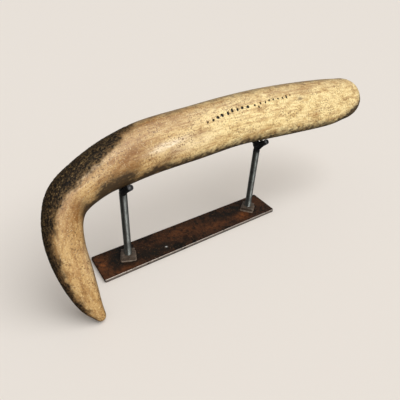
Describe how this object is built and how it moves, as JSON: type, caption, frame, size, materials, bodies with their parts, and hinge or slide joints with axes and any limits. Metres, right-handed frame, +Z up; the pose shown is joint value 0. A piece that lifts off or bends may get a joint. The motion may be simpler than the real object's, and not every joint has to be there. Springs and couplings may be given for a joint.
{
  "type": "hooked boomerang on a two-post display stand",
  "caption": "Long hooked boomerang of pale wood with bark left on its bend, resting in two rubber-sleeved V yokes on threaded posts welded to a rusty steel bar.",
  "frame": {"origin": "middle of the base plate's underside, on the surface the stand rests on", "axes": "+X along the base plate towards the boomerang's round end, +Y away from the hook's tip to the back, +Z up"},
  "size_m": [0.564, 0.125, 0.1988],
  "materials": {
    "carved_wood": "pale oiled wood, speckled and streaked, with dark rough bark along the outer bend",
    "rusted_steel": "brown rust patina with orange patches, sealed, worn bright on the front edge",
    "weld_metal": "rough weld bead with light rust",
    "zinc_rod": "zinc plated, slightly stained, threaded",
    "black_paint": "glossy black",
    "black_rubber": "smooth satin"
  },
  "bodies": {
    "stand": {"base_plate": "rusted_steel", "left_foot_nut": "rusted_steel", "right_foot_nut": "rusted_steel", "left_foot_weld": "weld_metal", "right_foot_weld": "weld_metal", "left_post": "zinc_rod", "right_post": "zinc_rod", "left_yoke": "black_paint", "right_yoke": "black_paint", "left_yoke_weld": "black_paint", "right_yoke_weld": "black_paint", "left_front_sleeve": "black_rubber", "left_back_sleeve": "black_rubber", "right_front_sleeve": "black_rubber", "right_back_sleeve": "black_rubber"},
    "boomerang": {"boomerang": "carved_wood"}
  },
  "joints": [
    {"name": "boomerang_lift", "type": "slide", "parent": "stand", "child": "boomerang", "axis": [0, 0, 1], "range_m": [0, 0.15]}
  ]
}
